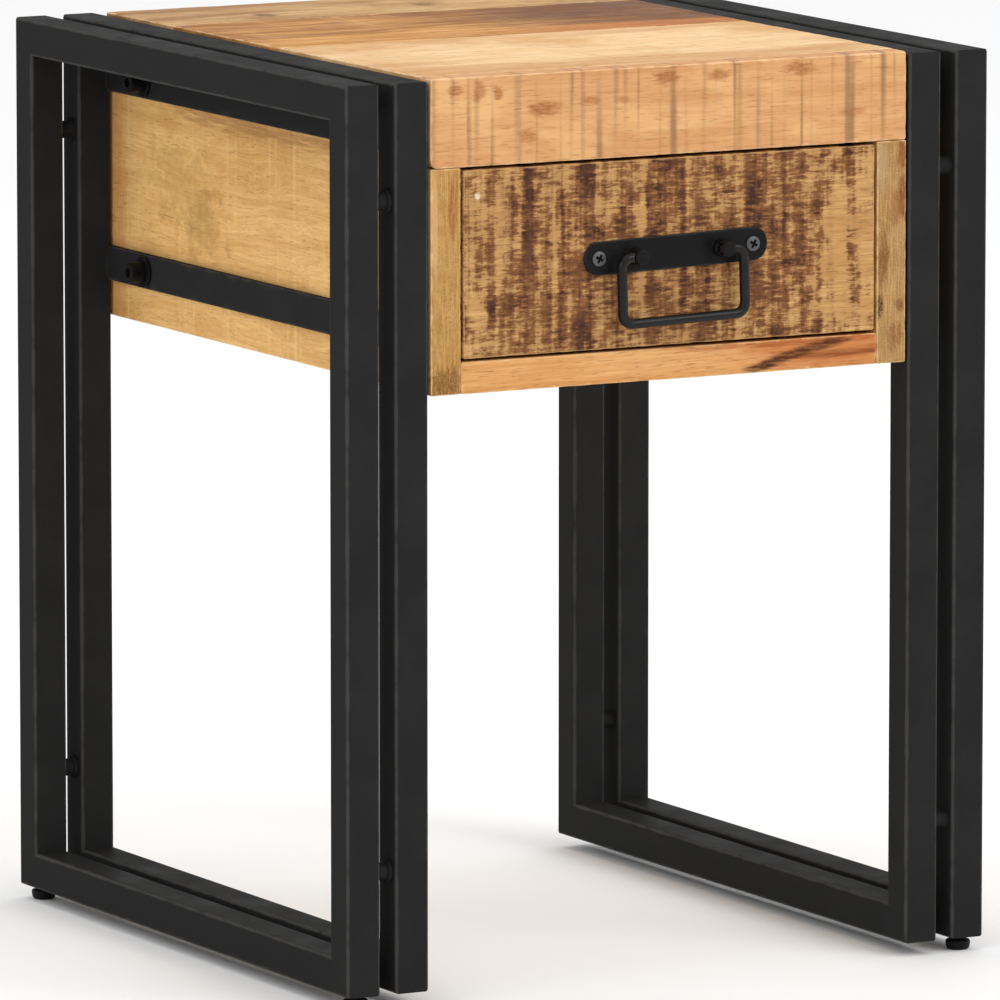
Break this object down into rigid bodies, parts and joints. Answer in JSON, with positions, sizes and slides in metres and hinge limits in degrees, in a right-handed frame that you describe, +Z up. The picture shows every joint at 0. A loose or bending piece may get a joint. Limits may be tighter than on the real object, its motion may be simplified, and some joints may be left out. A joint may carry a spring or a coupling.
{
  "type": "side table",
  "caption": "Side table: paired black square-tube loops at each side carry a sawn-wood cabinet with a sliding drawer and a swinging bail pull.",
  "frame": {"origin": "on the floor, under the middle of the table's box", "axes": "+Z up, -Y towards the drawer's side, +X to the right of a person facing the drawer"},
  "size_m": [0.41, 0.4276, 0.5195],
  "materials": {
    "frame_steel": "black powder coat, satin matte",
    "black_hardware": "black, slightly glossier than the frame",
    "screw_steel": "dull zinc plate",
    "glide_plastic": "matt black plastic",
    "lip_wood": "rough sawn, thin matt lacquer",
    "cream_plank": "rough sawn, thin matt lacquer",
    "golden_plank": "rough sawn, thin matt lacquer",
    "beige_plank": "rough sawn, thin matt lacquer",
    "side_wood": "rough sawn, thin matt lacquer",
    "rail_wood": "rough sawn, thin matt lacquer",
    "drawer_front_wood": "rough sawn with dark saw marks, thin matt lacquer",
    "plain_wood": "planed, unfinished"
  },
  "bodies": {
    "frame": {"back_panel": "side_wood", "bottom_board": "plain_wood", "drawer_guide_frame": "plain_wood", "front_rail": "rail_wood", "left_back_glide": "glide_plastic", "left_back_lower_bolt": "black_hardware", "left_back_lower_peg": "frame_steel", "left_back_upper_bolt": "black_hardware", "left_back_upper_peg": "frame_steel", "left_front_glide": "glide_plastic", "left_front_lower_bolt": "black_hardware", "left_front_lower_peg": "frame_steel", "left_front_upper_bolt": "black_hardware", "left_front_upper_peg": "frame_steel", "left_inner_back_leg": "frame_steel", "left_inner_bottom_rail": "frame_steel", "left_inner_front_leg": "frame_steel", "left_inner_top_rail": "frame_steel", "left_lower_bar": "frame_steel", "left_outer_back_leg": "frame_steel", "left_outer_bottom_rail": "frame_steel", "left_outer_front_leg": "frame_steel", "left_outer_top_rail": "frame_steel", "left_side_panel": "side_wood", "left_upper_bar": "frame_steel", "right_back_glide": "glide_plastic", "right_back_lower_bolt": "black_hardware", "right_back_lower_peg": "frame_steel", "right_back_upper_bolt": "black_hardware", "right_back_upper_peg": "frame_steel", "right_front_glide": "glide_plastic", "right_front_lower_bolt": "black_hardware", "right_front_lower_peg": "frame_steel", "right_front_upper_bolt": "black_hardware", "right_front_upper_peg": "frame_steel", "right_inner_back_leg": "frame_steel", "right_inner_bottom_rail": "frame_steel", "right_inner_front_leg": "frame_steel", "right_inner_top_rail": "frame_steel", "right_lower_bar": "frame_steel", "right_outer_back_leg": "frame_steel", "right_outer_bottom_rail": "frame_steel", "right_outer_front_leg": "frame_steel", "right_outer_top_rail": "frame_steel", "right_side_panel": "side_wood", "right_upper_bar": "frame_steel", "top_back_plank": "beige_plank", "top_front_board": "lip_wood", "top_front_plank": "cream_plank", "top_middle_plank": "golden_plank"},
    "drawer": {"drawer_back": "plain_wood", "drawer_bottom": "plain_wood", "drawer_front": "drawer_front_wood", "drawer_left_side": "plain_wood", "drawer_right_side": "plain_wood", "pull_left_screw": "screw_steel", "pull_plate": "black_hardware", "pull_right_screw": "screw_steel"},
    "bail": {"pull_bail": "black_hardware"}
  },
  "joints": [
    {"name": "drawer_slide", "type": "slide", "parent": "frame", "child": "drawer", "axis": [0, -1, 0], "range_m": [0, 0.2495]},
    {"name": "bail_swing", "type": "hinge", "parent": "drawer", "child": "bail", "pos_m": [0.0025, -0.20925, 0.41475], "axis": [-0.9996, 0, -0.0279], "range_deg": [-9, 189]}
  ]
}
